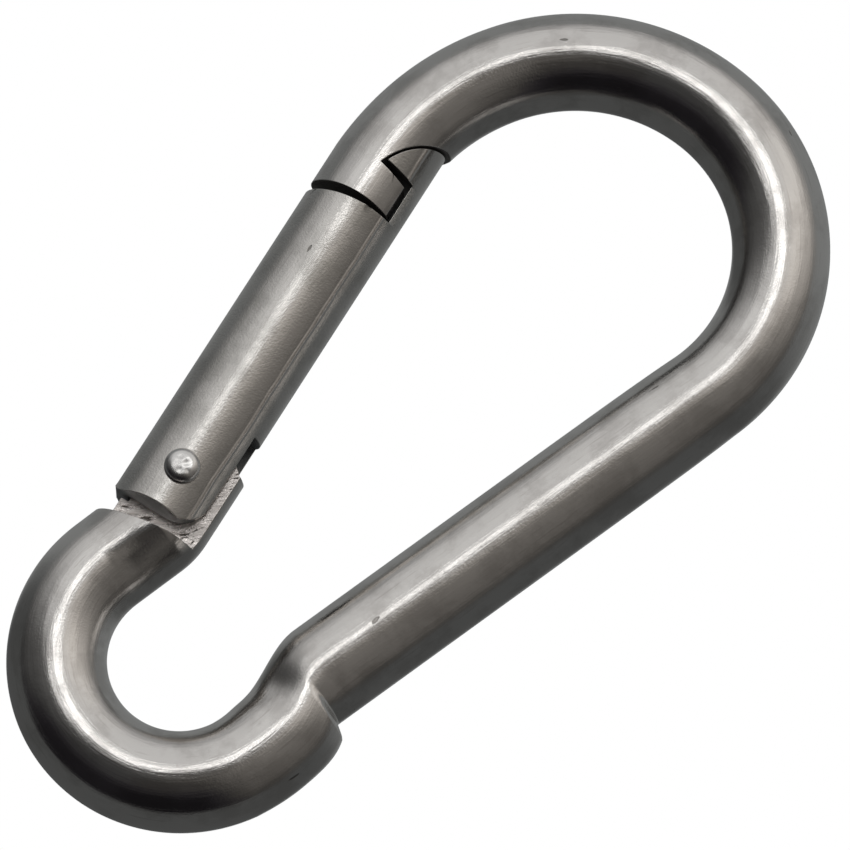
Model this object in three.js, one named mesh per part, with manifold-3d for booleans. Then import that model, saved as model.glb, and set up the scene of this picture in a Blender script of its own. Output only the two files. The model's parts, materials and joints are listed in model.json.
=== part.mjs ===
// Spring snap hook (carbine hook) bent from one round bar, with a sprung gate that opens inwards.
//
// Millimetres. The hook lies flat: Z = 0 is the middle plane of the bar, +Y points from the small
// eye to the large bow, and the gate is on the -X side. The gate and everything in it are drawn in
// the gate's own frame: its origin is the pivot, +Y runs along the gate to its nose and +X points
// into the hook.

import * as THREE from "three";
import { mergeVertices } from "three/addons/utils/BufferGeometryUtils.js";
import Module from "manifold-3d";

// ---------------------------------------------------------------- driving dimensions
const BAR_RADIUS = 5;
const GAP = 0.3; // clearance between pieces that touch on the real hook

// Where the gate's pivot is, and how far the gate leans to the left of +Y.
const PIVOT = { x: -6.32, y: -20.66 };
const GATE_LEAN = 19.16;
const GATE_AXIS_X = -0.32; // the centreline of the gate's bar, beside the pivot

// The bar's centreline, from the nose round the bow and down the spine to the eye.
const BOW_START_Y = 37.53;
const BOW = [
  { radius: 24.4, turn: 38.7 },
  { radius: 21.2, turn: 61.15 },
  { radius: 19.06, turn: 101.65 },
];
const SPINE_LENGTH = 48.4;
const JOGGLE = { length: 7.26, shift: 2.6, turn: 12.46 };
const EYE = [
  { radius: 12.15, turn: 110.95 },
  { radius: 12.54, turn: 80.4 },
];
const EYE_TAIL = 5.9;
const TAIL_BEND_RADIUS = 4;

// The milled tongue that the gate turns on, its slanting shoulders, and its back, which is rounded
// about the pivot.
const TONGUE_HALF = 1.95;
const TONGUE_SHOULDER = { y: -6.69, slope: 0.128 };
const TONGUE_REACH = 10;
const TONGUE_ROOT = { outerX: -3.95, topY: -5.2 };
const TONGUE_BACK_RADIUS = 3.1;

// The gate, its slot and its blind bore. The slot is open to the inside and the bottom only.
const GATE_BOTTOM_Y = -4.85;
const CHEEK_CORNER = 3;
const OUTER_CORNER = 1;
const CHEEK_CHAMFER = { rise: 0.45, depth: 1.3 }; // across the end of each cheek
const SLOT_HALF = TONGUE_HALF + GAP;
const SLOT_BACK_X = -TONGUE_BACK_RADIUS - GAP;
const SLOT_TOP_Y = 6.9;
const BORE_RADIUS = 2.2;
const BORE_END_Y = 27.6;
const BORE_CONE = 1.25;

// The latch: the gate's bowed end, its neck and barbed head, and the nose's bowed face, tooth and
// notch that hold them.
const GATE_FACE = { outer: 31.55, inner: 32.68, radius: 33 };
const NOSE_FACE = { outer: 32.65, inner: 32.97, radius: 22 };
const TOOTH_X = 3.3;
const TOOTH_TOP_Y = 36.45;
const NECK_X = 3.8;
const BARB_TIP = { x: 0.58, y: 37.72 };
const BARB_ROOT_Y = 37.22;
const BARB_TOP = { x: 4.8, y: 42.1 };
const BARB_ARC_RADIUS = 8.5;
const NOTCH_TIP = { x: 0.1, y: 37.2 };
const NOTCH_GAP = 0.2;

// The rivet.
const RIVET_RADIUS = 1.2;
const RIVET_HEAD = { radius: 1.83, seat: 5.25, top: 6 };

// The thrust pin and the spring behind it. Each radian that the gate turns pushes the pin
// THRUST_PER_RADIAN further up its bore, because the tongue's end is an involute of that circle.
const THRUST_PER_RADIAN = 1.5;
const TONGUE_END_Y = 4.25;
const INVOLUTE_TURN = 45;
const PIN = { radius: BORE_RADIUS - GAP, head: 5.5, stemRadius: 0.9, stem: 3.4, chamfer: 0.1 };
const SPRING = { meanRadius: 1.5, wireRadius: 0.3, coils: 9 };

// How finely round shapes are divided.
const BAR_SIDES = 24;
const GATE_SIDES = 32;
const HOLE_SIDES = 24;
const DEGREES_PER_STEP = 6.5;
const JOGGLE_STEPS = 10;
const ARC_STEPS = 8;
const DOME_STEPS = 5;
const STEPS_PER_COIL = 12;
const WIRE_SIDES = 8;

// How far cutters reach past the surfaces they open: through the bar, and beside it.
const THROUGH = 12;
const MARGIN = 2;

const radians = THREE.MathUtils.degToRad;
const wasm = await Module();
wasm.setup();

// ---------------------------------------------------------------- solids
function toSolid(geometry) {
  const merged = geometry.index ? geometry.clone() : geometry;
  merged.deleteAttribute("normal");
  merged.deleteAttribute("uv");
  const shared = mergeVertices(merged, 1e-4);
  return new wasm.Manifold(new wasm.Mesh({
    numProp: 3,
    vertProperties: new Float32Array(shared.attributes.position.array),
    triVerts: new Uint32Array(shared.index.array),
  }));
}

function toMesh(name, solid, look) {
  const data = solid.getMesh();
  const geometry = new THREE.BufferGeometry();
  geometry.setAttribute("position", new THREE.BufferAttribute(data.vertProperties, 3));
  geometry.setIndex(new THREE.BufferAttribute(data.triVerts, 1));
  geometry.computeVertexNormals();
  const mesh = new THREE.Mesh(geometry, new THREE.MeshStandardMaterial(look));
  mesh.name = name;
  return mesh;
}

// A flat outline drawn in X and Y, given a height along Z. It goes right through the bar by default.
function prism(points, low = -THROUGH, high = THROUGH) {
  const outline = new THREE.Shape(points.map(([x, y]) => new THREE.Vector2(x, y)));
  const geometry = new THREE.ExtrudeGeometry(outline, { depth: high - low, bevelEnabled: false });
  return toSolid(geometry.translate(0, 0, low));
}

function box(xRange, yRange, zRange) {
  const size = [xRange, yRange, zRange].map(([low, high]) => high - low);
  const middle = [xRange, yRange, zRange].map(([low, high]) => (low + high) / 2);
  return toSolid(new THREE.BoxGeometry(...size).translate(...middle));
}

// A solid turned about the gate's length, from its profile of radius and height.
function turned(profile, sides) {
  const points = profile.map(([radius, y]) => new THREE.Vector2(radius, y));
  return toSolid(new THREE.LatheGeometry(points, sides).translate(GATE_AXIS_X, 0, 0));
}

function rivetHole() {
  const radius = RIVET_RADIUS + GAP;
  const hole = new THREE.CylinderGeometry(radius, radius, THROUGH, HOLE_SIDES);
  return toSolid(hole.rotateX(Math.PI / 2));
}

// Whole steps from 0 to 1.
function fractions(steps) {
  return Array.from({ length: steps + 1 }, (_, i) => i / steps);
}

// ---------------------------------------------------------------- the bar's centreline
// A station is a point of the centreline with the heading of the bar's section there.
class Route {
  constructor(x, y, heading) {
    Object.assign(this, { x, y, heading });
    this.stations = [{ x, y, heading }];
  }

  mark() {
    this.stations.push({ x: this.x, y: this.y, heading: this.heading });
  }

  line(length) {
    this.x += length * Math.cos(this.heading);
    this.y += length * Math.sin(this.heading);
    this.mark();
  }

  // Turns clockwise, or anticlockwise for a negative turn.
  arc(radius, turn) {
    const steps = Math.ceil(Math.abs(turn) / DEGREES_PER_STEP);
    const step = radians(turn) / steps;
    const chord = 2 * radius * Math.abs(Math.sin(step / 2));
    for (let i = 0; i < steps; i += 1) {
      this.x += chord * Math.cos(this.heading - step / 2);
      this.y += chord * Math.sin(this.heading - step / 2);
      this.heading -= step;
      this.mark();
    }
  }

  // Moves the bar sideways, to the left of its heading, while its sections keep facing along it.
  joggle({ length, shift, turn }, steps) {
    const { x, y, heading } = this;
    for (let i = 1; i <= steps; i += 1) {
      const along = (i / steps) * length;
      const ease = THREE.MathUtils.smoothstep(i, 0, steps);
      this.x = x + along * Math.cos(heading) - ease * shift * Math.sin(heading);
      this.y = y + along * Math.sin(heading) + ease * shift * Math.cos(heading);
      this.heading = heading + ease * radians(turn);
      this.mark();
    }
  }
}

// Gives ExtrudeGeometry one section at each station.
class StationCurve extends THREE.Curve {
  constructor(stations) {
    super();
    this.stations = stations;
  }

  stationAt(fraction) {
    return this.stations[Math.round(fraction * (this.stations.length - 1))];
  }

  getPointAt(fraction) {
    const { x, y } = this.stationAt(fraction);
    return new THREE.Vector3(x, y, 0);
  }

  getTangentAt(fraction) {
    const { heading } = this.stationAt(fraction);
    return new THREE.Vector3(Math.cos(heading), Math.sin(heading), 0);
  }
}

// The gate's own frame, as a matrix: the pivot and the gate's lean.
const gateFrame = new THREE.Matrix4()
  .makeRotationZ(radians(GATE_LEAN))
  .setPosition(PIVOT.x, PIVOT.y, 0);

function barRoute() {
  const gateHeading = radians(90 + GATE_LEAN);
  const start = new THREE.Vector3(GATE_AXIS_X, GATE_FACE.outer - MARGIN, 0).applyMatrix4(gateFrame);
  const route = new Route(start.x, start.y, gateHeading);
  route.line(BOW_START_Y - GATE_FACE.outer + MARGIN);
  BOW.forEach(({ radius, turn }) => route.arc(radius, turn));
  route.line(SPINE_LENGTH);
  route.joggle(JOGGLE, JOGGLE_STEPS);
  EYE.forEach(({ radius, turn }) => route.arc(radius, turn));
  route.line(EYE_TAIL);
  const lean = THREE.MathUtils.radToDeg(gateHeading - route.heading) - 360;
  route.arc(TAIL_BEND_RADIUS, -lean);
  route.line(TONGUE_REACH);
  return route;
}

function barSolid(route) {
  const section = new THREE.Shape();
  section.absarc(0, 0, BAR_RADIUS, 0, 2 * Math.PI);
  return toSolid(new THREE.ExtrudeGeometry(section, {
    steps: route.stations.length - 1,
    curveSegments: BAR_SIDES / 2,
    extrudePath: new StationCurve(route.stations),
    bevelEnabled: false,
  }));
}

// ---------------------------------------------------------------- outlines in the gate's frame
// Points of the arc that bulges to the left of the way from one point to the other.
function arcPoints(from, to, radius) {
  const half = Math.hypot(to.x - from.x, to.y - from.y) / 2;
  const along = { x: (to.x - from.x) / (2 * half), y: (to.y - from.y) / (2 * half) };
  const depth = Math.sqrt(radius ** 2 - half ** 2);
  const centre = {
    x: (from.x + to.x) / 2 + depth * along.y,
    y: (from.y + to.y) / 2 - depth * along.x,
  };
  const first = Math.atan2(from.y - centre.y, from.x - centre.x);
  const sweep = 2 * Math.asin(half / radius);
  return fractions(ARC_STEPS).map((fraction) => {
    const angle = first - fraction * sweep;
    return [centre.x + radius * Math.cos(angle), centre.y + radius * Math.sin(angle)];
  });
}

// The notch's roof runs NOTCH_GAP outside the barb's rounded top.
function notchRoof() {
  const top = { x: BARB_TOP.x, y: BARB_TOP.y + NOTCH_GAP };
  return arcPoints(NOTCH_TIP, top, BARB_ARC_RADIUS + NOTCH_GAP);
}

// The bowed end of the gate, or of the nose, from the bar's outer side in to the given X.
function face({ outer, inner, radius }, innerX) {
  const outerX = GATE_AXIS_X - BAR_RADIUS;
  return arcPoints({ x: outerX, y: outer }, { x: innerX, y: inner }, radius);
}

// What is cut from the end of the bar to leave the nose's face, its tooth and its notch.
function noseCut() {
  const beside = BAR_RADIUS + MARGIN;
  const below = GATE_FACE.outer - 2 * MARGIN;
  const roof = notchRoof();
  return [
    [-beside, below],
    [-beside, NOSE_FACE.outer],
    ...face(NOSE_FACE, TOOTH_X),
    [TOOTH_X, TOOTH_TOP_Y],
    ...roof,
    [beside, roof.at(-1)[1]],
    [beside, below],
  ];
}

// The tongue's end: square to the gate, then an involute that lifts the thrust pin evenly.
function tongueEnd() {
  return fractions(ARC_STEPS).map((fraction) => {
    const turn = radians(fraction * INVOLUTE_TURN);
    const reach = TONGUE_END_Y + THRUST_PER_RADIAN * turn;
    return [
      THRUST_PER_RADIAN * Math.cos(turn) + reach * Math.sin(turn),
      reach * Math.cos(turn) - THRUST_PER_RADIAN * Math.sin(turn),
    ];
  });
}

// The tongue's back: round until it has turned by INVOLUTE_TURN, then a chamfer up to its end.
function tongueBack() {
  const round = fractions(ARC_STEPS).map((fraction) => {
    const angle = radians(180 - fraction * INVOLUTE_TURN);
    return [TONGUE_BACK_RADIUS * Math.cos(angle), TONGUE_BACK_RADIUS * Math.sin(angle)];
  });
  const [x, y] = round.at(-1);
  const rise = TONGUE_END_Y - y;
  return [...round, [x + rise, TONGUE_END_Y]];
}

function shoulderAt(x) {
  return TONGUE_SHOULDER.y + TONGUE_SHOULDER.slope * x;
}

// What is milled off each flat side of the tongue.
function sideCut() {
  const beside = BAR_RADIUS + MARGIN;
  const above = TONGUE_END_Y + TONGUE_REACH;
  return [
    [-beside, shoulderAt(-beside)],
    [beside, shoulderAt(beside)],
    [beside, above],
    [-beside, above],
  ];
}

// The room round the tongue, cut away from the bar's end.
function tongueCut() {
  const beside = BAR_RADIUS + MARGIN;
  const above = TONGUE_END_Y + TONGUE_REACH;
  const end = tongueEnd();
  const [endX, endY] = end.at(-1);
  const fall = (beside - endX) * Math.tan(radians(INVOLUTE_TURN));
  return [
    [-beside, shoulderAt(-beside)],
    [TONGUE_ROOT.outerX, shoulderAt(TONGUE_ROOT.outerX)],
    [TONGUE_ROOT.outerX, TONGUE_ROOT.topY],
    [-TONGUE_BACK_RADIUS, TONGUE_ROOT.topY],
    ...tongueBack(),
    ...end,
    [beside, endY - fall],
    [beside, above],
    [-beside, above],
  ];
}

// A quarter circle at the gate's bottom, anticlockwise from the given angle.
function corner(centreX, radius, start) {
  return fractions(ARC_STEPS).map((fraction) => {
    const angle = radians(start + 90 * fraction);
    return [
      centreX + radius * Math.cos(angle),
      GATE_BOTTOM_Y + radius + radius * Math.sin(angle),
    ];
  });
}

function gateOutline() {
  const beside = BAR_RADIUS + MARGIN;
  const cheek = Math.sqrt(BAR_RADIUS ** 2 - SLOT_HALF ** 2) + GATE_AXIS_X;
  const outer = GATE_AXIS_X - BAR_RADIUS;
  return [
    [-beside, GATE_BOTTOM_Y + OUTER_CORNER],
    ...corner(outer + OUTER_CORNER, OUTER_CORNER, 180),
    ...corner(cheek - CHEEK_CORNER, CHEEK_CORNER, 270),
    [beside, GATE_BOTTOM_Y + CHEEK_CORNER + MARGIN],
    [beside, BARB_TOP.y],
    ...arcPoints(BARB_TIP, BARB_TOP, BARB_ARC_RADIUS).reverse(),
    [NECK_X, BARB_ROOT_Y],
    ...face(GATE_FACE, NECK_X).reverse(),
    [-beside, GATE_FACE.outer],
  ];
}

// The wedge cut from the end of one cheek, on the side of Z given by sign.
function cheekChamfer(sign) {
  const { rise, depth } = CHEEK_CHAMFER;
  const slope = rise / depth;
  const wedge = new THREE.Shape([
    new THREE.Vector2(GATE_BOTTOM_Y - MARGIN, BAR_RADIUS - depth - MARGIN / slope),
    new THREE.Vector2(GATE_BOTTOM_Y + rise + MARGIN * slope, BAR_RADIUS + MARGIN),
    new THREE.Vector2(GATE_BOTTOM_Y - MARGIN, BAR_RADIUS + MARGIN),
  ]);
  const geometry = new THREE.ExtrudeGeometry(wedge, { depth: 2 * THROUGH, bevelEnabled: false });
  const across = new THREE.Matrix4().makeBasis(
    new THREE.Vector3(0, 1, 0),
    new THREE.Vector3(0, 0, sign),
    new THREE.Vector3(sign, 0, 0),
  );
  return toSolid(geometry.translate(0, 0, -THROUGH).applyMatrix4(across));
}

// ---------------------------------------------------------------- the pieces
function hookBody(look) {
  const inGate = (solid) => solid.transform(gateFrame.elements);
  const solid = barSolid(barRoute())
    .subtract(inGate(prism(noseCut())))
    .subtract(inGate(prism(sideCut(), TONGUE_HALF, THROUGH)))
    .subtract(inGate(prism(sideCut(), -THROUGH, -TONGUE_HALF)))
    .subtract(inGate(prism(tongueCut())))
    .subtract(inGate(rivetHole()));
  return toMesh("hook_body", solid, look);
}

function gate(look) {
  const low = GATE_BOTTOM_Y - MARGIN;
  const high = BARB_TOP.y + MARGIN;
  const bar = turned([
    [0, low],
    [BAR_RADIUS, low],
    [BAR_RADIUS, high],
    [0, high],
  ], GATE_SIDES);
  const bore = turned([
    [0, SLOT_TOP_Y - MARGIN],
    [BORE_RADIUS, SLOT_TOP_Y - MARGIN],
    [BORE_RADIUS, BORE_END_Y],
    [0, BORE_END_Y + BORE_CONE],
  ], HOLE_SIDES);
  const slot = box([SLOT_BACK_X, BAR_RADIUS + MARGIN], [low, SLOT_TOP_Y], [-SLOT_HALF, SLOT_HALF]);
  const solid = bar
    .intersect(prism(gateOutline()))
    .subtract(cheekChamfer(1))
    .subtract(cheekChamfer(-1))
    .subtract(slot)
    .subtract(bore)
    .subtract(rivetHole());
  return toMesh("gate", solid, look);
}

// A shank through both cheeks, with a peened dome at each end.
function rivet(look) {
  const { radius, seat, top } = RIVET_HEAD;
  const dome = fractions(DOME_STEPS).slice(0, -1).map((fraction) => {
    const angle = (fraction * Math.PI) / 2;
    return [radius * Math.cos(angle), seat + (top - seat) * Math.sin(angle)];
  });
  const upper = [[RIVET_RADIUS, seat], ...dome, [0, top]];
  const lower = upper.map(([r, y]) => [r, -y]).reverse();
  const points = [...lower, ...upper].map(([r, y]) => new THREE.Vector2(r, y));
  const geometry = new THREE.LatheGeometry(points, HOLE_SIDES).rotateX(Math.PI / 2);
  return toMesh("rivet", toSolid(geometry), look);
}

const PIN_START_Y = TONGUE_END_Y + GAP;
const PIN_SHOULDER_Y = PIN_START_Y + PIN.head;

function thrustPin(look) {
  const { radius, chamfer, stemRadius, stem } = PIN;
  const solid = turned([
    [0, PIN_START_Y],
    [radius - chamfer, PIN_START_Y],
    [radius, PIN_START_Y + chamfer],
    [radius, PIN_SHOULDER_Y],
    [stemRadius, PIN_SHOULDER_Y],
    [stemRadius, PIN_SHOULDER_Y + stem],
    [0, PIN_SHOULDER_Y + stem],
  ], HOLE_SIDES);
  return toMesh("thrust_pin", solid, look);
}

class Helix extends THREE.Curve {
  constructor(radius, low, high, coils) {
    super();
    Object.assign(this, { radius, low, high, coils });
  }

  getPoint(fraction) {
    const angle = 2 * Math.PI * this.coils * fraction;
    return new THREE.Vector3(
      GATE_AXIS_X + this.radius * Math.cos(angle),
      this.low + fraction * (this.high - this.low),
      this.radius * Math.sin(angle),
    );
  }
}

function spring(look) {
  const { meanRadius, wireRadius, coils } = SPRING;
  const low = PIN_SHOULDER_Y + GAP + wireRadius;
  const high = BORE_END_Y - GAP - wireRadius;
  const wire = new THREE.Shape();
  wire.absarc(0, 0, wireRadius, 0, 2 * Math.PI);
  const geometry = new THREE.ExtrudeGeometry(wire, {
    steps: coils * STEPS_PER_COIL,
    curveSegments: WIRE_SIDES / 2,
    extrudePath: new Helix(meanRadius, low, high, coils),
    bevelEnabled: false,
  });
  return toMesh("spring", toSolid(geometry), look);
}

// ---------------------------------------------------------------- the hook
const brightPlate = { color: 0xb4b2ae, roughness: 0.22, metalness: 1 };
const satinPlate = { color: 0xa9a7a2, roughness: 0.32, metalness: 1 };
const rivetSteel = { color: 0x9d9c9a, roughness: 0.3, metalness: 1 };
const springSteel = { color: 0x6f7072, roughness: 0.35, metalness: 1 };

const gateGroup = new THREE.Group();
gateGroup.applyMatrix4(gateFrame);
gateGroup.add(gate(satinPlate), rivet(rivetSteel), thrustPin(rivetSteel), spring(springSteel));

const snapHook = new THREE.Group();
snapHook.add(hookBody(brightPlate), gateGroup);

export default snapHook;
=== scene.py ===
"""The looks of a spring snap hook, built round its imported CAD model.

The bar, gate, rivet, thrust pin and spring are each a fine mesh of their own that stands for a CAD
node. Shapes are worked out in millimetres and handed to Blender in metres.
"""
import json
import math

import bmesh
import bpy
import numpy as np
from mathutils import Matrix, Vector


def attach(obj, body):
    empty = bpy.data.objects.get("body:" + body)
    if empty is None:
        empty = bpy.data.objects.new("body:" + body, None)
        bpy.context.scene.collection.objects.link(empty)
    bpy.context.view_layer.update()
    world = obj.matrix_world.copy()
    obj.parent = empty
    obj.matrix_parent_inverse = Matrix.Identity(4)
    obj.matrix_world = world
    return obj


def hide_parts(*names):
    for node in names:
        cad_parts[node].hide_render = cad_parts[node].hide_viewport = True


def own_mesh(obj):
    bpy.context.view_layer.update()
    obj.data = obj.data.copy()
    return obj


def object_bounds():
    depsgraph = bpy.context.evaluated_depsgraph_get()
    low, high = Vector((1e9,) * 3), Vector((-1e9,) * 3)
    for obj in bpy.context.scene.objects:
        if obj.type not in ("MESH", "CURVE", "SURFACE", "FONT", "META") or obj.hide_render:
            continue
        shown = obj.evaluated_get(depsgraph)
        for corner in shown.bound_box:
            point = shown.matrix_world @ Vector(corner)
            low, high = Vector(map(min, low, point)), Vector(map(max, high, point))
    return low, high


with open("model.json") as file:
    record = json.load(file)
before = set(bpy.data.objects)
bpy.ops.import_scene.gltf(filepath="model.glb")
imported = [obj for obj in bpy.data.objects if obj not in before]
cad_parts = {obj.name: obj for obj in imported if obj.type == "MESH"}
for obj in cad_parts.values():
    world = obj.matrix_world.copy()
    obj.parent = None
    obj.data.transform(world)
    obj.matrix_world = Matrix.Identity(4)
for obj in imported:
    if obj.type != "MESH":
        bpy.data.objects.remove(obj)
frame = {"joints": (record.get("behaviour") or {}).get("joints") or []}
cad_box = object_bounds()

MM = 0.001

# ------------------------------------------------------------------ driving dimensions, in mm
BAR_RADIUS = 5.0
GAP = 0.3
GATE_AXIS_X = -0.32

# The bar is a little flattened where it is bent, so each stretch has its own half width. A bend
# is given by its radius, its turn in degrees and its half width.
NOSE_START_Y, BOW_START_Y, NOSE_HALF = 29.55, 37.53, 5.05
BOW = ((24.4, 38.7, 4.85), (21.2, 61.15, 4.88), (19.06, 101.65, 4.91))
SPINE_LENGTH, SPINE_HALF = 48.4, 5.08
JOGGLE_LENGTH, JOGGLE_SHIFT, JOGGLE_TURN = 7.26, 2.6, 12.46
# Where the press thinned or thickened the bar: each place, its reach and the share of thickness.
SWELLS = ((16.5, -27.6, 2.0, -0.13), (-2.2, -26.3, 2.4, 0.13), (-1.6, -30.6, 2.2, -0.06))
EYE = ((12.15, 110.95, 5.02), (12.54, 80.4, 4.98))
EYE_TAIL, TAIL_HALF = 5.71, 5.0
TAIL_BEND_RADIUS = 5.05

TONGUE_HALF = 1.95
TONGUE_SHOULDER_Y, TONGUE_SHOULDER_SLOPE = -6.69, 0.128
TONGUE_REACH = 10.0
TONGUE_ROOT = (-3.95, -5.2)
TONGUE_BACK_RADIUS = 3.1
TONGUE_END_Y = 4.25
INVOLUTE_TURN = 45.0
THRUST_PER_RADIAN = 1.5

GATE_BOTTOM_Y = -4.85
CHEEK_CORNER, OUTER_CORNER = 3.0, 1.0
CHAMFER_RISE, CHAMFER_DEPTH = 0.45, 1.3
SLOT_HALF = TONGUE_HALF + GAP
SLOT_BACK_X = -TONGUE_BACK_RADIUS - GAP
SLOT_TOP_Y = 6.9
BORE_RADIUS = 2.2
BORE_END_Y = 27.6
BORE_CONE = 1.25

GATE_FACE, GATE_FACE_RADIUS = (31.55, 32.68), 33.0
NOSE_FACE, NOSE_FACE_RADIUS = (32.65, 32.97), 22.0
TOOTH_X, TOOTH_TOP_Y = 3.3, 36.45
NECK_X, BARB_ROOT_Y = 3.8, 37.22
BARB_TIP, BARB_TOP, BARB_ARC_RADIUS = (0.58, 37.72), (4.8, 42.1), 8.5
NOTCH_TIP, NOTCH_GAP = (0.1, 37.2), 0.2

RIVET_RADIUS = 1.2
RIVET_HEAD_RADIUS = 1.83
RIVET_HEAD_RISE = 0.95

PIN_RADIUS = BORE_RADIUS - GAP
PIN_HEAD, PIN_STEM, PIN_STEM_RADIUS = 5.5, 3.4, 0.9
SPRING_MEAN_RADIUS, SPRING_WIRE_RADIUS, SPRING_COILS = 1.5, 0.3, 9

# ------------------------------------------------------------------ the gate's frame
joints = {joint["name"]: joint for joint in frame["joints"]}
pivot = Vector(joints["gate_hinge"]["pos_m"])
along_gate = Vector(joints["thrust_slide"]["axis"]).normalized()
GATE_LEAN = math.atan2(-along_gate.x, along_gate.y)
GATE_FRAME = Matrix.Translation(pivot) @ Matrix.Rotation(GATE_LEAN, 4, "Z") @ Matrix.Scale(MM, 4)


def smooth(value, low, high):
    """0 below low, 1 above high, and a smooth rise between them."""
    share = np.clip((value - low) / (high - low), 0.0, 1.0)
    return share * share * (3 - 2 * share)


# ------------------------------------------------------------------ the bar's route
LEAD_IN = 1.8
JOGGLE_BULGE = 0.45
WIDTH_FADE, BULGE_FADE = 4.0, 4.5


class Route:
    """Sections of the bar, each as its outer and inner point in the hook's plane, in mm.

    Outer is the outside of the loop, to the left of the heading. The third point is where the
    outer one would be without the joggle's crease, which fades out towards the inside.
    """

    def __init__(self, start, heading):
        self.point = np.array(start, float)
        self.heading = heading
        self.sections = []
        self.half = NOSE_HALF
        self.bulge = 0.0

    def mark(self, half, step=0.0):
        self.half += (half - self.half) * (1 - math.exp(-step / WIDTH_FADE))
        self.bulge *= math.exp(-step / BULGE_FADE)
        left = np.array((-math.sin(self.heading), math.cos(self.heading)))
        outer = self.point + (self.half + self.bulge) * left
        self.sections.append((outer, self.point - self.half * left, outer))

    def line(self, length, half, spacing=2.0):
        steps = max(1, math.ceil(length / spacing))
        step = length / steps
        for _ in range(steps):
            self.point = self.point + step * np.array((math.cos(self.heading), math.sin(self.heading)))
            self.mark(half, step)

    def arc(self, radius, turn, half, spacing=1.5):
        """Turns clockwise by turn degrees, or anticlockwise if it is negative."""
        steps = max(2, math.ceil(abs(turn) / spacing))
        step = math.radians(turn) / steps
        chord = 2 * radius * abs(math.sin(step / 2))
        for _ in range(steps):
            middle = self.heading - step / 2
            self.point = self.point + chord * np.array((math.cos(middle), math.sin(middle)))
            self.heading -= step
            self.mark(half, chord)

    def joggle(self, bulge):
        """Steps the bar outwards: a sharp crease on the outside and a soft one on the inside."""
        ahead = np.array((math.cos(self.heading), math.sin(self.heading)))
        left = np.array((-ahead[1], ahead[0]))
        turn = math.radians(JOGGLE_TURN)
        crease, crease_width, fade, steps = 1.0, 0.7, 2.2, 64
        outer_end = JOGGLE_LENGTH - BAR_RADIUS * math.sin(turn)
        inner_end = JOGGLE_LENGTH + BAR_RADIUS * math.sin(turn)
        outer_rise = JOGGLE_SHIFT + (self.half + bulge) * math.cos(turn) - self.half
        inner_rise = JOGGLE_SHIFT - self.half * math.cos(turn) + self.half
        sudden = 0.45 * outer_rise
        room = outer_end - crease - crease_width / 2
        for i in range(1, steps + 1):
            share = i / steps
            a_outer = -LEAD_IN + share * (outer_end + LEAD_IN)
            a_inner = -LEAD_IN + share * (inner_end + LEAD_IN)
            later = max(0.0, a_outer - crease - crease_width / 2)
            slow = (1 - math.exp(-later / fade)) / (1 - math.exp(-room / fade))
            n_outer = self.half + sudden * smooth(a_outer, crease, crease + crease_width)
            n_outer += (outer_rise - sudden) * slow
            n_inner = -self.half + inner_rise * smooth(a_inner, -1.0, inner_end - 0.3)
            n_soft = self.half + outer_rise * smooth(a_outer, -1.0, outer_end)
            self.sections.append((
                self.point + a_outer * ahead + n_outer * left,
                self.point + a_inner * ahead + n_inner * left,
                self.point + a_outer * ahead + n_soft * left,
            ))
        self.point = self.point + JOGGLE_LENGTH * ahead + JOGGLE_SHIFT * left
        self.heading += turn
        self.bulge = bulge

    def relax(self, middle, reach=14, passes=20):
        """Evens out the sections on both sides of the one numbered middle."""
        part = slice(middle - reach, middle + reach + 1)
        block = np.array(self.sections[part])
        for _ in range(passes):
            block[1:-1] = (block[:-2] + 2 * block[1:-1] + block[2:]) / 4
        self.sections[part] = list(block)


def bar_route():
    start = GATE_FRAME @ Vector((GATE_AXIS_X, NOSE_START_Y, 0)) / MM
    route = Route(start.xy, math.pi / 2 + GATE_LEAN)
    route.mark(NOSE_HALF)
    route.line(BOW_START_Y - NOSE_START_Y, NOSE_HALF, 0.8)
    for radius, turn, half in BOW:
        route.arc(radius, turn, half)
    route.line(SPINE_LENGTH - LEAD_IN, SPINE_HALF)
    route.point = route.point + LEAD_IN * np.array((math.cos(route.heading), math.sin(route.heading)))
    route.joggle(JOGGLE_BULGE)
    joggle_end = len(route.sections)
    for radius, turn, half in EYE:
        route.arc(radius, turn, half)
    route.relax(joggle_end)
    route.line(EYE_TAIL, TAIL_HALF)
    lean = math.degrees(math.pi / 2 + GATE_LEAN - route.heading) - 360
    route.arc(TAIL_BEND_RADIUS, -lean, TAIL_HALF, 4)
    route.line(TONGUE_REACH, TAIL_HALF, 1.0)
    return route


# ------------------------------------------------------------------ meshes
def new_piece(name, vertices, faces):
    mesh = bpy.data.meshes.new(name)
    mesh.from_pydata([tuple(v) for v in vertices], [], faces)
    mesh.validate()
    bm = bmesh.new()
    bm.from_mesh(mesh)
    bmesh.ops.recalc_face_normals(bm, faces=bm.faces)
    bm.to_mesh(mesh)
    bm.free()
    piece = bpy.data.objects.new(name, mesh)
    bpy.context.scene.collection.objects.link(piece)
    return piece


def loft(name, rings):
    """A closed tube through rings of points, each with the same number of points."""
    rings = np.asarray(rings, float)
    count, sides = rings.shape[:2]
    faces = []
    for ring in range(count - 1):
        for side in range(sides):
            a, b = ring * sides + side, ring * sides + (side + 1) % sides
            faces.append((a, b, b + sides, a + sides))
    faces.append(tuple(reversed(range(sides))))
    faces.append(tuple(range((count - 1) * sides, count * sides)))
    return new_piece(name, rings.reshape(-1, 3), faces)


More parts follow.
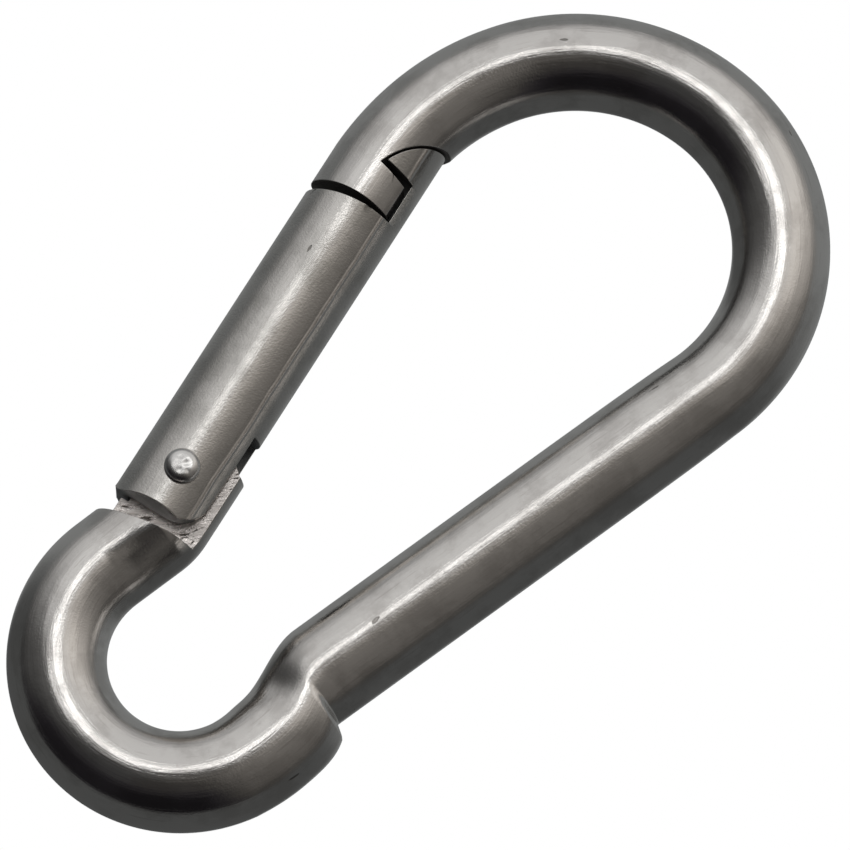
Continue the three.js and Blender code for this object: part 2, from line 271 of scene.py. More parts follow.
def lathe(name, profile, sides=72):
    """Turns a profile of (radius, height) about Z; it starts and ends on the axis."""
    vertices = [(0, 0, profile[0][1])]
    faces = []
    inner = profile[1:-1]
    for radius, height in inner:
        for side in range(sides):
            angle = 2 * math.pi * side / sides
            vertices.append((radius * math.cos(angle), radius * math.sin(angle), height))
    top = len(vertices)
    vertices.append((0, 0, profile[-1][1]))
    for side in range(sides):
        after = (side + 1) % sides
        faces.append((0, 1 + after, 1 + side))
        for ring in range(len(inner) - 1):
            a, b = 1 + ring * sides + side, 1 + ring * sides + after
            faces.append((a, b, b + sides, a + sides))
        last = 1 + (len(inner) - 1) * sides
        faces.append((last + side, last + after, top))
    return new_piece(name, vertices, faces)


def prism(name, outline, low, high):
    """A solid with the given outline in X and Y, between two heights."""
    count = len(outline)
    vertices = [(x, y, z) for z in (low, high) for x, y in outline]
    faces = [(i, (i + 1) % count, (i + 1) % count + count, i + count) for i in range(count)]
    faces.append(tuple(reversed(range(count))))
    faces.append(tuple(range(count, 2 * count)))
    return new_piece(name, vertices, faces)


def boolean(piece, cutter, operation="DIFFERENCE"):
    modifier = piece.modifiers.new("cut", "BOOLEAN")
    modifier.operation = operation
    modifier.object = cutter
    modifier.solver = "EXACT"
    apply_modifiers(piece)
    bpy.data.objects.remove(cutter)


def apply_modifiers(piece):
    graph = bpy.context.evaluated_depsgraph_get()
    mesh = bpy.data.meshes.new_from_object(piece.evaluated_get(graph), depsgraph=graph)
    piece.modifiers.clear()
    old = piece.data
    piece.data = mesh
    mesh.name = piece.name
    bpy.data.meshes.remove(old)


def soften_edges(piece, width, segments=2, angle=32.0):
    """Rounds the sharp edges of a cut piece by width, in the piece's own units."""
    bm = bmesh.new()
    bm.from_mesh(piece.data)
    bmesh.ops.remove_doubles(bm, verts=bm.verts, dist=width * 0.3)
    bmesh.ops.dissolve_degenerate(bm, edges=bm.edges, dist=width * 0.2)
    bm.to_mesh(piece.data)
    bm.free()
    bevel = piece.modifiers.new("edges", "BEVEL")
    bevel.width = width
    bevel.segments = segments
    bevel.limit_method = "ANGLE"
    bevel.angle_limit = math.radians(angle)
    bevel.use_clamp_overlap = False
    bevel.miter_outer = "MITER_ARC"
    apply_modifiers(piece)
    piece.data.shade_smooth()
    weighted = piece.modifiers.new("normals", "WEIGHTED_NORMAL")
    weighted.keep_sharp = False
    weighted.weight = 80
    apply_modifiers(piece)


def place(piece, transform):
    piece.data.transform(transform)
    piece.data.update()
    return piece


# ------------------------------------------------------------------ outlines in the gate's frame
def arc_points(start, end, radius, steps):
    """Points of the arc that bulges to the left of the way from start to end."""
    start, end = Vector(start), Vector(end)
    half = (end - start).length / 2
    along = (end - start) / (2 * half)
    depth = math.sqrt(radius**2 - half**2)
    centre = (start + end) / 2 + depth * Vector((along.y, -along.x))
    first = math.atan2(start.y - centre.y, start.x - centre.x)
    sweep = 2 * math.asin(half / radius)
    return [
        (centre.x + radius * math.cos(first - i / steps * sweep),
         centre.y + radius * math.sin(first - i / steps * sweep))
        for i in range(steps + 1)
    ]


def bowed_face(heights, radius, inner_x):
    """The bowed end of the gate or the nose, from the bar's outer side in to inner_x."""
    return arc_points((GATE_AXIS_X - BAR_RADIUS, heights[0]), (inner_x, heights[1]), radius, 16)


def nose_cut():
    roof = arc_points(NOTCH_TIP, (BARB_TOP[0], BARB_TOP[1] + NOTCH_GAP), BARB_ARC_RADIUS + NOTCH_GAP, 24)
    outer, below, beyond = -BAR_RADIUS - 2, GATE_FACE[0] - 5, BAR_RADIUS + 2
    face = bowed_face(NOSE_FACE, NOSE_FACE_RADIUS, TOOTH_X)
    start = [(outer, below), (outer, NOSE_FACE[0])]
    return [*start, *face, (TOOTH_X, TOOTH_TOP_Y), *roof, (beyond, roof[-1][1]), (beyond, below)]


def tongue_back():
    round_part = [
        (TONGUE_BACK_RADIUS * math.cos(angle), TONGUE_BACK_RADIUS * math.sin(angle))
        for angle in np.radians(np.linspace(180, 180 - INVOLUTE_TURN, 16))
    ]
    x, y = round_part[-1]
    return [*round_part, (x + TONGUE_END_Y - y, TONGUE_END_Y)]


def tongue_end():
    points = []
    for turn in np.radians(np.linspace(0, INVOLUTE_TURN, 24)):
        reach = TONGUE_END_Y + THRUST_PER_RADIAN * turn
        points.append((
            THRUST_PER_RADIAN * math.cos(turn) + reach * math.sin(turn),
            reach * math.cos(turn) - THRUST_PER_RADIAN * math.sin(turn),
        ))
    return points


def shoulder_y(x):
    return TONGUE_SHOULDER_Y + TONGUE_SHOULDER_SLOPE * x


def flat_cut():
    """What is milled off each flat side of the tongue."""
    far, above = BAR_RADIUS + 3, TONGUE_END_Y + TONGUE_REACH
    return [(-far, shoulder_y(-far)), (far, shoulder_y(far)), (far, above), (-far, above)]


def tongue_cut():
    far, above = BAR_RADIUS + 3, TONGUE_END_Y + TONGUE_REACH
    end = tongue_end()
    root = [(-far, shoulder_y(-far)), (TONGUE_ROOT[0], shoulder_y(TONGUE_ROOT[0])), TONGUE_ROOT]
    root.append((-TONGUE_BACK_RADIUS, TONGUE_ROOT[1]))
    rest = [(far, end[-1][1] - 0.8), (far, above), (-far, above)]
    return [*root, *tongue_back(), *end, *rest]


def quarter(centre_x, radius, start):
    """A quarter circle at the gate's bottom, anticlockwise from the angle start."""
    return [
        (centre_x + radius * math.cos(angle), GATE_BOTTOM_Y + radius + radius * math.sin(angle))
        for angle in np.radians(np.linspace(start, start + 90, 14))
    ]


def gate_outline():
    outer, inner = -BAR_RADIUS - 2, BAR_RADIUS + 1
    side = GATE_AXIS_X - BAR_RADIUS
    cheek = math.sqrt(BAR_RADIUS**2 - SLOT_HALF**2) + GATE_AXIS_X
    return [
        (outer, GATE_BOTTOM_Y + OUTER_CORNER), *quarter(side + OUTER_CORNER, OUTER_CORNER, 180),
        *quarter(cheek - CHEEK_CORNER, CHEEK_CORNER, 270),
        (inner, GATE_BOTTOM_Y + CHEEK_CORNER + 2), (inner, BARB_TOP[1]),
        *reversed(arc_points(BARB_TIP, BARB_TOP, BARB_ARC_RADIUS, 24)), (NECK_X, BARB_ROOT_Y),
        *reversed(bowed_face(GATE_FACE, GATE_FACE_RADIUS, NECK_X)), (outer, GATE_FACE[0]),
    ]


def box_outline(x_low, x_high, y_low, y_high):
    return [(x_low, y_low), (x_high, y_low), (x_high, y_high), (x_low, y_high)]


# ------------------------------------------------------------------ the pieces
# Turns a lathe's axis from Z to the gate's bore.
ALONG_GATE = Matrix.Translation((GATE_AXIS_X, 0, 0)) @ Matrix.Rotation(math.radians(-90), 4, "X")
# Turns an outline drawn in X and Y to Y and Z.
FROM_SIDE = Matrix(((0, 0, 1, 0), (1, 0, 0, 0), (0, 1, 0, 0), (0, 0, 0, 1)))
THROUGH = 12.0
BAR_SIDES = 96
EDGE_WIDTH = 0.07
HOLE_CLEARANCE = 0.05


def in_gate_mm(piece):
    """Moves a cutter from the gate's frame to the hook's, still in millimetres."""
    return place(piece, Matrix.Scale(1 / MM, 4) @ GATE_FRAME)


def rivet_hole(name):
    hole = RIVET_RADIUS + HOLE_CLEARANCE
    profile = [(0, -THROUGH), (hole, -THROUGH), (hole, THROUGH), (0, THROUGH)]
    return lathe(name, profile, 48)


def make_bar():
    route = bar_route()
    rings = []
    angles = 2 * math.pi * np.arange(BAR_SIDES) / BAR_SIDES
    creased = smooth(np.cos(angles), -0.3, 0.6)[:, None]
    for outer, inner, soft in route.sections:
        edge = soft + creased * (outer - soft)
        ring = np.empty((BAR_SIDES, 3))
        ring[:, :2] = inner + (edge - inner) * (1 + np.cos(angles)[:, None]) / 2
        ring[:, 2] = BAR_RADIUS * np.sin(angles)
        for x, y, reach, rise in SWELLS:
            near = np.exp(-((ring[:, 0] - x) ** 2 + (ring[:, 1] - y) ** 2) / reach**2)
            ring[:, 2] *= 1 + rise * near
        rings.append(ring)
    bar = loft("bar", rings)
    boolean(bar, in_gate_mm(prism("nose_cut", nose_cut(), -THROUGH, THROUGH)))
    boolean(bar, in_gate_mm(prism("top_cut", flat_cut(), TONGUE_HALF, THROUGH)))
    boolean(bar, in_gate_mm(prism("under_cut", flat_cut(), -THROUGH, -TONGUE_HALF)))
    boolean(bar, in_gate_mm(prism("tongue_cut", tongue_cut(), -THROUGH, THROUGH)))
    boolean(bar, in_gate_mm(rivet_hole("tongue_hole")))
    soften_edges(bar, EDGE_WIDTH)
    return place(bar, Matrix.Scale(MM, 4))


def make_gate():
    low, high, spacing = GATE_BOTTOM_Y - 3, BARB_TOP[1] + 1, 0.8
    angles = 2 * math.pi * np.arange(BAR_SIDES) / BAR_SIDES
    rings = []
    for y in np.linspace(low, high, math.ceil((high - low) / spacing)):
        ring = np.empty((BAR_SIDES, 3))
        ring[:, 0] = GATE_AXIS_X + BAR_RADIUS * np.cos(angles)
        ring[:, 1] = y
        ring[:, 2] = BAR_RADIUS * np.sin(angles)
        rings.append(ring)
    gate = loft("gate_bar", rings)
    boolean(gate, prism("outline", gate_outline(), -THROUGH, THROUGH), "INTERSECT")
    slot = box_outline(SLOT_BACK_X, BAR_RADIUS + 2, low - 1, SLOT_TOP_Y)
    boolean(gate, prism("slot", slot, -SLOT_HALF, SLOT_HALF))
    bore = lathe("bore", [(0, SLOT_TOP_Y - 1), (BORE_RADIUS, SLOT_TOP_Y - 1),
                          (BORE_RADIUS, BORE_END_Y), (0, BORE_END_Y + BORE_CONE)])
    boolean(gate, place(bore, ALONG_GATE))
    for side in (1, -1):
        boolean(gate, end_chamfer(side))
    boolean(gate, rivet_hole("gate_hole"))
    soften_edges(gate, EDGE_WIDTH)
    return place(gate, GATE_FRAME)


def end_chamfer(side):
    """The wedge cut from the end of one cheek, which leaves its slanted end facet."""
    beyond = 2.0
    slope = CHAMFER_RISE / CHAMFER_DEPTH
    corners = [
        (GATE_BOTTOM_Y - beyond, side * (BAR_RADIUS - CHAMFER_DEPTH - beyond / slope)),
        (GATE_BOTTOM_Y + CHAMFER_RISE + beyond * slope, side * (BAR_RADIUS + beyond)),
        (GATE_BOTTOM_Y - beyond, side * (BAR_RADIUS + beyond)),
    ]
    return place(prism("chamfer", corners, -BAR_RADIUS - 1, BAR_RADIUS + 1), FROM_SIDE)


def make_rivet():
    """A shank with a peened head at each end: round shoulders and a dented, flattened crown."""
    seat, rim, top = BAR_RADIUS - 0.6, BAR_RADIUS - 0.05, BAR_RADIUS + RIVET_HEAD_RISE
    round_width, crown_drop, crown_radius = 0.95, 0.06, 0.9
    round_height = top - crown_drop - rim
    shoulder = [
        (RIVET_HEAD_RADIUS - round_width * (1 - math.cos(angle)), rim + round_height * math.sin(angle))
        for angle in np.radians(np.linspace(0, 84, 14))
    ]
    crown = [
        (radius, top - crown_drop * (radius / crown_radius) ** 2)
        for radius in np.linspace(0.75, 0.05, 12)
    ]
    upper = [(RIVET_RADIUS, seat), (RIVET_HEAD_RADIUS - 0.04, seat), *shoulder, *crown, (0, top)]
    lower = [(radius, -height) for radius, height in reversed(upper)]
    rivet = lathe("rivet_look", [*lower, *upper], 96)
    hammer_marks(rivet, rim)
    rivet.data.shade_smooth()
    return place(rivet, GATE_FRAME)


def hammer_marks(rivet, rim):
    """Dents from peening, in both crowns: each has its place, its radius and its depth."""
    dents = (
        (0.32, 0.24, 0.42, 0.07), (-0.3, -0.12, 0.38, 0.045), (0.1, -0.62, 0.4, 0.06),
        (-0.5, 0.55, 0.35, 0.05), (0.85, -0.35, 0.3, 0.04),
    )
    for vertex in rivet.data.vertices:
        x, y, z = vertex.co
        if abs(z) < rim + 0.3:
            continue
        for dent_x, dent_y, radius, depth in dents:
            near = math.exp(-(((x - dent_x) ** 2 + (y - dent_y) ** 2) / radius**2))
            vertex.co.z -= math.copysign(depth * near, z)


def make_thrust_pin():
    start = TONGUE_END_Y + 0.02
    shoulder = TONGUE_END_Y + GAP + PIN_HEAD
    end = shoulder + PIN_STEM
    profile = [
        (0, start), (PIN_RADIUS - 0.12, start), (PIN_RADIUS - 0.03, start + 0.04),
        (PIN_RADIUS, start + 0.14), (PIN_RADIUS, shoulder - 0.12), (PIN_RADIUS - 0.12, shoulder),
        (PIN_STEM_RADIUS + 0.1, shoulder), (PIN_STEM_RADIUS, shoulder + 0.1),
        (PIN_STEM_RADIUS, end - 0.3), (PIN_STEM_RADIUS - 0.3, end), (0, end),
    ]
    pin = place(lathe("thrust_pin_look", profile), ALONG_GATE)
    pin.data.shade_smooth()
    pin.data.set_sharp_from_angle(angle=math.radians(35))
    return place(pin, GATE_FRAME)


def make_spring():
    """A compression spring with a closed coil at each end."""
    low = TONGUE_END_Y + GAP + PIN_HEAD + SPRING_WIRE_RADIUS
    high = BORE_END_Y - SPRING_WIRE_RADIUS
    closed, turns, per_turn, sides = 1.0, SPRING_COILS + 2.0, 36, 12
    pitch = (high - low - 2 * closed * 2 * SPRING_WIRE_RADIUS) / (turns - 2 * closed)
    rings = []
    for turn in np.linspace(0, turns, int(turns * per_turn) + 1):
        wound = min(turn, closed) + max(0.0, turn - (turns - closed))
        y = low + 2 * SPRING_WIRE_RADIUS * wound + pitch * (turn - wound)
        angle = 2 * math.pi * turn
        out = Vector((math.cos(angle), 0, math.sin(angle)))
        climb = pitch / (2 * math.pi * SPRING_MEAN_RADIUS)
        ahead = Vector((-math.sin(angle), climb, math.cos(angle))).normalized()
        side = ahead.cross(out)
        centre = Vector((GATE_AXIS_X, y, 0)) + SPRING_MEAN_RADIUS * out
        ring = []
        for part in range(sides):
            around = 2 * math.pi * part / sides
            ring.append(centre + SPRING_WIRE_RADIUS * (math.cos(around) * out + math.sin(around) * side))
        rings.append(ring)
    spring = loft("spring_look", rings)
    spring.data.shade_smooth()
    return place(spring, GATE_FRAME)


# ------------------------------------------------------------------ materials
class Graph:
    """Short calls for building a node tree."""

    def __init__(self, tree):
        self.tree = tree
        tree.nodes.clear()

    def add(self, kind, inputs=None, **settings):
        node = self.tree.nodes.new(kind)
        for name, value in settings.items():
            setattr(node, name, value)
        for key, value in (inputs or {}).items():
            if isinstance(value, bpy.types.NodeSocket):
                self.tree.links.new(value, node.inputs[key])
            else:
                node.inputs[key].default_value = value
        return node

    def math(self, operation, a, b=0.0):
        return self.add("ShaderNodeMath", {0: a, 1: b}, operation=operation).outputs[0]

    def dot(self, a, b):
        return self.add("ShaderNodeVectorMath", {0: a, 1: b}, operation="DOT_PRODUCT").outputs["Value"]

    def rise(self, value, low, high, to_low=0.0, to_high=1.0):
        inputs = {"Value": value, "From Min": low, "From Max": high, "To Min": to_low, "To Max": to_high}
        return self.add("ShaderNodeMapRange", inputs, interpolation_type="SMOOTHSTEP").outputs[0]

    def blend(self, factor, a, b):
        """Mixes two colours."""
        return self.add("ShaderNodeMix", {0: factor, 6: a, 7: b}, data_type="RGBA").outputs[2]

    def level(self, factor, a, b):
        """Mixes two numbers."""
        return self.add("ShaderNodeMix", {0: factor, 2: a, 3: b}, data_type="FLOAT").outputs[0]

    def noise(self, vector, scale, detail, roughness):
        inputs = {"Vector": vector, "Scale": scale, "Detail": detail, "Roughness": roughness}
        return self.add("ShaderNodeTexNoise", inputs).outputs["Fac"]

    def stretch(self, vector, scale):
        return self.add("ShaderNodeMapping", {"Vector": vector, "Scale": scale}).outputs["Vector"]


def new_material(name):
    material = bpy.data.materials.new(name)
    material.use_nodes = True
    return material, Graph(material.node_tree)


def steel_surface(g, shade, rough, height, strength, depth):
    """Bare metal with the height as bump: depth is in metres."""
    normal = g.add("ShaderNodeBump", {"Height": height, "Strength": strength, "Distance": depth}).outputs[0]
    shader = g.add("ShaderNodeBsdfPrincipled", {
        "Base Color": shade, "Metallic": 1.0, "Roughness": rough, "Normal": normal,
    })
    g.add("ShaderNodeOutputMaterial", {"Surface": shader.outputs[0]})


def metal(name, color, tint, roughness, spread, waves, streaks, grain, seam=0.0):
    """Plated steel. Its height is the sum of waves, drawing streaks, grain and nicks.

    Streaks run along the bar, whose own coordinates are the attribute "bar", in centimetres. A
    seam is for the gate's steel: a ridge, lightened as a painted highlight. It comes with the filed edge of
    the gate's neck, a bump step that is also lightened as a painted highlight.
    """
    material, g = new_material(name)
    bar = g.add("ShaderNodeAttribute", attribute_name="bar").outputs["Vector"]
    drawn = g.noise(g.stretch(bar, (0.06, 1.0, 1.0)), 30.0, 5.0, 0.6)
    swell = g.noise(g.stretch(bar, (0.3, 1.0, 1.0)), 5.0, 3.0, 0.5)
    cloud = g.noise(bar, 2.2, 4.0, 0.6)
    sand = g.noise(bar, 45.0, 3.0, 0.65)
    nick = g.rise(g.noise(g.stretch(bar, (0.35, 1.0, 1.0)), 9.0, 2.0, 0.4), 0.755, 0.78)
    shade = g.blend(g.rise(cloud, 0.42, 0.66), color, tint)
    shade = g.blend(g.rise(drawn, 0.58, 0.72, 0, 0.4), shade, (0.48, 0.45, 0.43, 1))
    shade = g.blend(g.math("MULTIPLY", nick, 0.7), shade, (0.12, 0.11, 0.1, 1))
    rough = g.math("ADD", g.rise(drawn, 0.3, 0.7, roughness - spread / 2, roughness + spread / 2),
                   g.rise(cloud, 0.35, 0.7, 0, spread))
    height = g.math("ADD", g.math("MULTIPLY", swell, waves), g.math("MULTIPLY", drawn, streaks))
    height = g.math("ADD", height, g.math("MULTIPLY", sand, grain))
    height = g.math("SUBTRACT", height, g.math("MULTIPLY", nick, 0.8))
    if seam:
        line = seam_ridge_and_highlight(g, bar, swell)
        # painted highlight: the seam's ridge is lightened
        shade = g.blend(g.math("MULTIPLY", line, 0.8), shade, (0.95, 0.9, 0.86, 1))
        height = g.math("ADD", height, g.math("MULTIPLY", line, seam))
        off_the_edge = filed_edge_and_highlight(g, bar, sand)
        # painted highlight: the filed edge of the neck is lightened
        shade = g.blend(g.math("SUBTRACT", 1.0, off_the_edge), shade, (0.95, 0.92, 0.88, 1))
        height = g.math("ADD", height, g.math("MULTIPLY", off_the_edge, 4.0))
    steel_surface(g, shade, rough, height, 0.6, 0.00004)
    return material


def seam_ridge_and_highlight(g, bar, swell):
    """A fine ridge along the inner front of the gate, a little uneven. Along it the colour is lightened as
    a painted highlight.
    """
    across = g.add("ShaderNodeSeparateXYZ", {0: bar}).outputs["Y"]
    off = g.math("ABSOLUTE", g.math("ADD", across, g.rise(swell, 0.2, 0.8, 0.345, 0.36)))
    return g.rise(off, 0.004, 0.026, 1, 0)


def filed_edge_and_highlight(g, bar, sand):
    """0 at the edge of the gate's neck, where it is filed back unevenly, and 1 elsewhere. Where it is 0 the
    colour is lightened as a painted highlight.
    """
    axes = g.add("ShaderNodeSeparateXYZ", {0: bar})
    past_edge = g.math("SUBTRACT", (GATE_AXIS_X - NECK_X) / 10, axes.outputs["Y"])
    filed = g.rise(past_edge, 0.0, g.rise(sand, 0.35, 0.65, 0.03, 0.09))
    low, high = (GATE_FACE[1] - GATE_BOTTOM_Y) / 10, (BARB_ROOT_Y - GATE_BOTTOM_Y) / 10
    beside = g.rise(axes.outputs["X"], low, low + 0.02)
    beside = g.math("MULTIPLY", beside, g.rise(axes.outputs["X"], high - 0.02, high, 1, 0))
    return g.level(beside, 1.0, filed)


def milled(name, color, dark):
    """Cut steel: uneven ridges left by the cutter, with dark tears between some of them."""
    material, g = new_material(name)
    bar = g.add("ShaderNodeAttribute", attribute_name="bar").outputs["Vector"]
    slant = {"Vector": bar, "Rotation": (0, 0, math.radians(-50))}
    turned = g.add("ShaderNodeMapping", slant).outputs["Vector"]
    ridge = g.noise(g.stretch(turned, (1.0, 0.16, 1.0)), 34.0, 4.0, 0.7)
    chatter = g.noise(g.stretch(turned, (1.0, 0.3, 1.0)), 11.0, 3.0, 0.6)
    tear = g.rise(g.math("ADD", ridge, chatter), 0.79, 0.85, 1, 0)
    shade = g.blend(g.rise(ridge, 0.35, 0.65), dark, color)
    shade = g.blend(g.math("MULTIPLY", tear, 0.85), shade, (0.09, 0.075, 0.065, 1))
    height = g.math("ADD", ridge, g.math("MULTIPLY", chatter, 0.8))
    height = g.math("SUBTRACT", height, g.math("MULTIPLY", tear, 0.8))
    steel_surface(g, shade, g.rise(chatter, 0.3, 0.7, 0.2, 0.36), height, 0.8, 0.00015)
    return material


def bar_coordinates(piece, route_points):
    """The attribute "bar": how far along the bar, then across and above it, all in centimetres."""
    points = np.array(route_points, float)
    run = np.concatenate(([0], np.cumsum(np.linalg.norm(np.diff(points, axis=0), axis=1))))
    co = np.array([v.co for v in piece.data.vertices], float) / MM
    shares = 40  # of the points, to keep the tables of distances small
    nearest = np.concatenate([
        ((part[:, None, :2] - points[None]) ** 2).sum(2).argmin(1)
        for part in np.array_split(co, shares)
    ])
    ahead = np.gradient(points, axis=0)
    ahead /= np.linalg.norm(ahead, axis=1)[:, None]
    off = co[:, :2] - points[nearest]
    across = off[:, 1] * ahead[nearest, 0] - off[:, 0] * ahead[nearest, 1]
    along = run[nearest] + (off * ahead[nearest]).sum(1)
    values = np.column_stack((along, across, co[:, 2])) / 10
    layer = piece.data.attributes.new("bar", "FLOAT_VECTOR", "POINT")
    layer.data.foreach_set("vector", values.astype(np.float32).ravel())
    return np.column_stack((along, across, co[:, 2]))


# Faces nearer to the bar's middle than this share of its radius aren't skin but cut faces. The
# stretches that they are in start at these distances along the bar, or along the gate.
SKIN_SHARE = 0.955
FROM_THE_START, PAST_THE_NOSE, PAST_THE_SLOT = -20, 60, 20


def mark_cuts(piece, bar, cuts):
    """Gives each cut face the material of the stretch that it is in."""
    for _, material in cuts:
        piece.data.materials.append(material)
    for face in piece.data.polygons:
        along, across, above = bar[list(face.vertices)].mean(axis=0)
        if math.hypot(across, above) < SKIN_SHARE * BAR_RADIUS:
            face.material_index = max(i + 1 for i, (low, _) in enumerate(cuts) if along >= low)


# ------------------------------------------------------------------ the studio
# The camera looks down at the hook, whose long axis rises to the right in the picture.
LONG_AXIS_RISE = math.radians(39.16)
RIGHT = Vector((math.sin(LONG_AXIS_RISE), math.cos(LONG_AXIS_RISE), 0))
UP = Vector((-math.cos(LONG_AXIS_RISE), math.sin(LONG_AXIS_RISE), 0))
LOOK_AT = Vector((4.475, 1.525, 0)) * MM
CAMERA_DISTANCE = 1.2
CAMERA_TILT = math.radians(16)
FRAME_WIDTH = 0.08458
SENSOR = 36.0


def make_camera():
    data = bpy.data.cameras.new("camera")
    camera = bpy.data.objects.new("camera", data)
    bpy.context.scene.collection.objects.link(camera)
    back = -math.sin(CAMERA_TILT) * UP + math.cos(CAMERA_TILT) * Vector((0, 0, 1))
    up = math.cos(CAMERA_TILT) * UP + math.sin(CAMERA_TILT) * Vector((0, 0, 1))
    turn = Matrix((RIGHT, up, back)).transposed()
    camera.matrix_world = Matrix.Translation(LOOK_AT + CAMERA_DISTANCE * back) @ turn.to_4x4()
    data.sensor_width = SENSOR
    data.lens = SENSOR * CAMERA_DISTANCE / FRAME_WIDTH
    data.clip_start, data.clip_end = 0.05, 20
    bpy.context.scene.camera = camera


def towards(azimuth, zenith):
    """A direction from the picture's right, turned anticlockwise, and down from straight up."""
    azimuth, zenith = math.radians(azimuth), math.radians(zenith)
    flat = math.cos(azimuth) * RIGHT + math.sin(azimuth) * UP
    return math.sin(zenith) * flat + math.cos(zenith) * Vector((0, 0, 1))


# Each lamp's azimuth, zenith angle and spread, in degrees, and its power.
LAMPS = (
    (72, 18, 3.2, 1.8), (105, 15, 3.3, 1.8), (148, 19, 2.8, 1.6),
    (25, 38, 9, 0.14), (130, 36, 8, 0.16), (36, 56, 8, 0.1),
)


def make_world():
    """A pale room to the upper right, a dark one to the lower left, and soft lamps near the top.

    The turn is measured in degrees round from the middle of the pale side.
    """
    world = bpy.data.worlds.new("studio")
    bpy.context.scene.world = world
    world.use_nodes = True
    g = Graph(world.node_tree)
    ray = g.add("ShaderNodeTexCoord").outputs["Generated"]
    turn = g.math("ARCTAN2", g.dot(ray, towards(150, 90)), g.dot(ray, towards(60, 90)))
    turn = g.math("MULTIPLY", turn, math.degrees(1))
    height = g.add("ShaderNodeSeparateXYZ", {0: ray}).outputs["Z"]
    glow = g.math("ADD", g.rise(turn, -142, -96, 0, 0.12), g.rise(turn, -86, -18, 0, 0.5))
    glow = g.math("MULTIPLY", glow, g.rise(turn, 52, 101, 1, 0.12))
    glow = g.math("MULTIPLY", glow, g.rise(turn, 98, 138, 1, 0.05))
    glow = g.math("MULTIPLY", glow, g.rise(height, -0.03, 0.5, 0.38, 1))
    sky = g.math("ADD", glow, g.rise(height, 0.55, 0.99, 0.009, 0.045))
    overhead = g.rise(height, math.cos(math.radians(13)), math.cos(math.radians(4)))
    sky = g.level(overhead, sky, 0.10)
    ground = g.math("MULTIPLY", g.rise(turn, -110, -30), g.rise(turn, 58, 92, 1, 0))
    ground = g.rise(ground, 0, 1, 0.078, 0.228)
    room = g.level(g.rise(height, -0.06, 0.11), ground, sky)
    for azimuth, zenith, spread, power in LAMPS:
        aim = g.dot(ray, towards(azimuth, zenith))
        lamp = g.rise(aim, math.cos(math.radians(1.6 * spread)), math.cos(math.radians(0.4 * spread)))
        room = g.math("ADD", room, g.math("MULTIPLY", lamp, power))
    tone = g.blend(g.rise(turn, -60, 20), (1.06, 1.0, 0.93, 1), (1.0, 0.995, 0.985, 1))
    tone = g.blend(g.rise(height, -0.1, 0.2, 1, 0), tone, (0.97, 1.0, 1.0, 1))
    tone = g.blend(g.rise(room, 0.01, 0.05, 1, 0), tone, (1.0, 0.92, 1.05, 1))
    background = g.add("ShaderNodeBackground", {"Color": tone, "Strength": room})
    g.add("ShaderNodeOutputWorld", {"Surface": background.outputs[0]})


def make_floor():
    half, height = 2.0, cad_box[0].z - 0.2 * MM
    corners = [(-half, -half, height), (half, -half, height), (half, half, height), (-half, half, height)]
    floor = new_piece("floor", corners, [(0, 1, 2, 3)])
    material, g = new_material("pale_floor")
    glow = g.add("ShaderNodeEmission", {"Color": (1, 1, 1, 1), "Strength": 1.0})
    g.add("ShaderNodeOutputMaterial", {"Surface": glow.outputs[0]})
    floor.data.materials.append(material)
    floor.visible_glossy = False
    floor.visible_diffuse = False
    floor.visible_shadow = False


# ------------------------------------------------------------------ the hook
def finish_piece(piece, body, node, material, route_points, cuts=()):
    """Cuts pair the distance along the bar where a stretch starts with its cut faces' material."""
    piece.data.materials.clear()
    piece.data.materials.append(material)
    bar = bar_coordinates(piece, route_points)
    if cuts:
        mark_cuts(piece, bar, cuts)
    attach(piece, body)
    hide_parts(node)


def gate_points():
    low, high = GATE_BOTTOM_Y, BARB_TOP[1]
    return [(GATE_FRAME @ Vector((GATE_AXIS_X, y, 0)) / MM).xy for y in np.linspace(low, high, 60)]


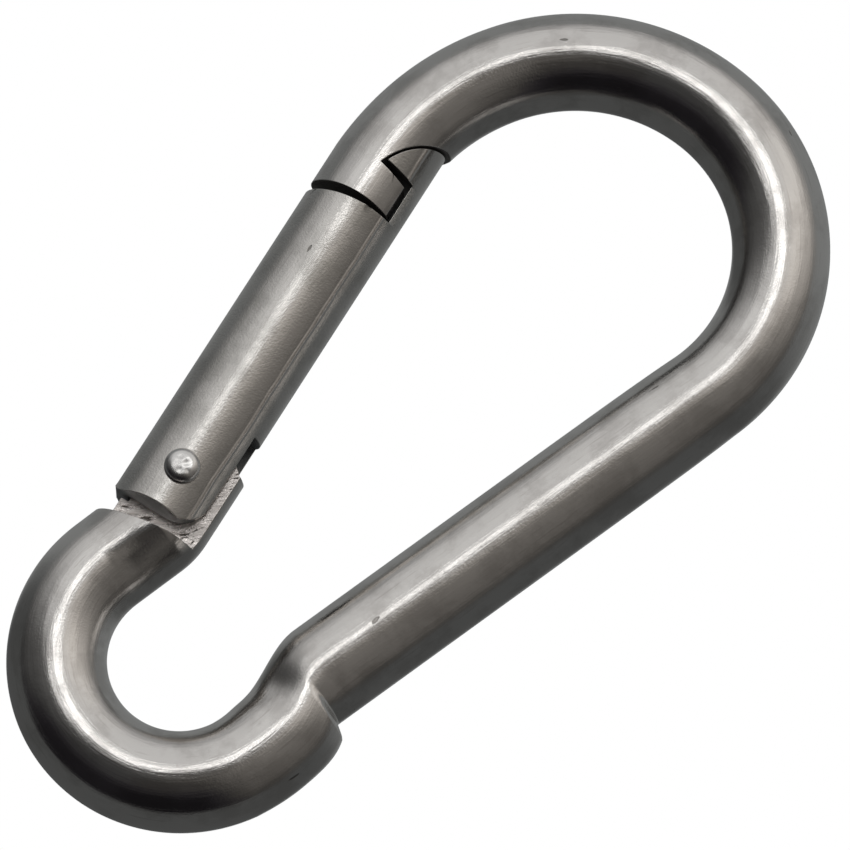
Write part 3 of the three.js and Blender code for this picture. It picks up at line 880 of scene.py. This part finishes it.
def make_materials():
    """Every material of the hook, by a short name."""
    return {
        "bright": metal("bright_plate", (0.75, 0.73, 0.71, 1), (0.62, 0.60, 0.58, 1),
                        roughness=0.085, spread=0.06, waves=1.4, streaks=0.8, grain=0.4),
        "satin": metal("satin_plate", (0.72, 0.70, 0.675, 1), (0.60, 0.585, 0.56, 1),
                       roughness=0.13, spread=0.1, waves=0.9, streaks=0.4, grain=0.9, seam=3.2),
        "peened": metal("peened_steel", (0.77, 0.76, 0.75, 1), (0.68, 0.67, 0.66, 1),
                        roughness=0.2, spread=0.08, waves=0.8, streaks=0.1, grain=0.2),
        "turned": metal("turned_steel", (0.52, 0.51, 0.50, 1), (0.46, 0.45, 0.44, 1),
                        roughness=0.3, spread=0.1, waves=0.2, streaks=0.2, grain=0.1),
        "wire": metal("spring_wire", (0.42, 0.41, 0.40, 1), (0.36, 0.36, 0.36, 1),
                      roughness=0.3, spread=0.1, waves=0.2, streaks=0.2, grain=0.1),
        "tongue": milled("milled_steel", (0.98, 0.93, 0.90, 1), (0.78, 0.73, 0.70, 1)),
        "sawn": metal("sawn_steel", (0.40, 0.42, 0.43, 1), (0.3, 0.32, 0.33, 1),
                      roughness=0.45, spread=0.1, waves=0.3, streaks=0.05, grain=0.2),
        # painted shade: a dark grey for the cut faces in the narrow gaps at the nose, the tooth and the
        # gate's face, where shade falls
        "painted_gap_shade": metal("painted_shade_steel", (0.27, 0.26, 0.25, 1), (0.17, 0.165, 0.16, 1),
                      roughness=0.5, spread=0.1, waves=0.5, streaks=0.1, grain=0.4),
    }


def main():
    make_camera()
    make_world()
    make_floor()
    bpy.context.scene.view_settings.view_transform = "Standard"
    looks = make_materials()
    centres = [(soft + inner) / 2 for _, inner, soft in bar_route().sections]
    length = np.linalg.norm(np.diff(centres, axis=0), axis=1).sum()
    tongue_start = length - TONGUE_REACH - BAR_RADIUS
    bar, gate = make_bar(), make_gate()
    # The cut faces at the bar's nose and tooth, and those of the gate past its slot, take the painted gap
    # shade.
    bar_cuts = (
        (FROM_THE_START, looks["painted_gap_shade"]), (PAST_THE_NOSE, looks["bright"]), (tongue_start, looks["tongue"]),
    )
    gate_cuts = ((FROM_THE_START, looks["sawn"]), (PAST_THE_SLOT, looks["painted_gap_shade"]))
    finish_piece(bar, "hook", "hook_body", looks["bright"], centres, bar_cuts)
    finish_piece(gate, "gate", "gate", looks["satin"], gate_points(), gate_cuts)
    finish_piece(make_rivet(), "gate", "rivet", looks["peened"], gate_points())
    finish_piece(make_thrust_pin(), "thrust_pin", "thrust_pin", looks["turned"], gate_points())
    spring = make_spring()
    finish_piece(spring, "gate", "spring", looks["wire"], gate_points())
    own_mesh(spring)


main()
